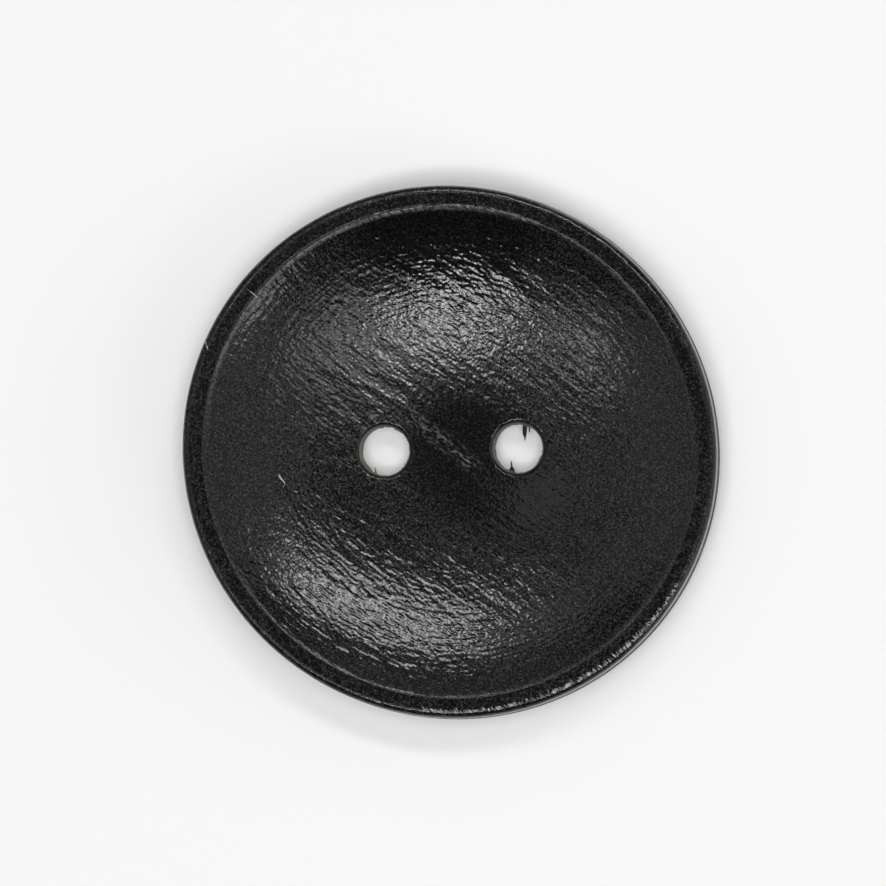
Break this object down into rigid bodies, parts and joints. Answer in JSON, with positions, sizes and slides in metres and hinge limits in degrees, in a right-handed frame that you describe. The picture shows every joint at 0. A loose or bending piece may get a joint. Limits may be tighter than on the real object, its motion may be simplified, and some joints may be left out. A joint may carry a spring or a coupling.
{
  "type": "sew_through_button",
  "caption": "Round two-hole wooden sew-through button with a dished front, a flat raised rim and a satin black lacquer finish",
  "frame": {"origin": "centre of the flat back face, on the face", "axes": "+X from the left thread hole to the right one, +Z out of the dished front"},
  "size_m": [0.0298, 0.0296, 0.0044],
  "materials": {
    "dyed_wood": "fine-grained hardwood dyed black, with bare brown wood in the walls of the drilled holes",
    "black_lacquer": "satin black lacquer, thin enough for the wood grain and the turning marks to show"
  },
  "bodies": {
    "root": {"wood_body": "dyed_wood", "lacquer_coat": "black_lacquer"}
  },
  "joints": []
}
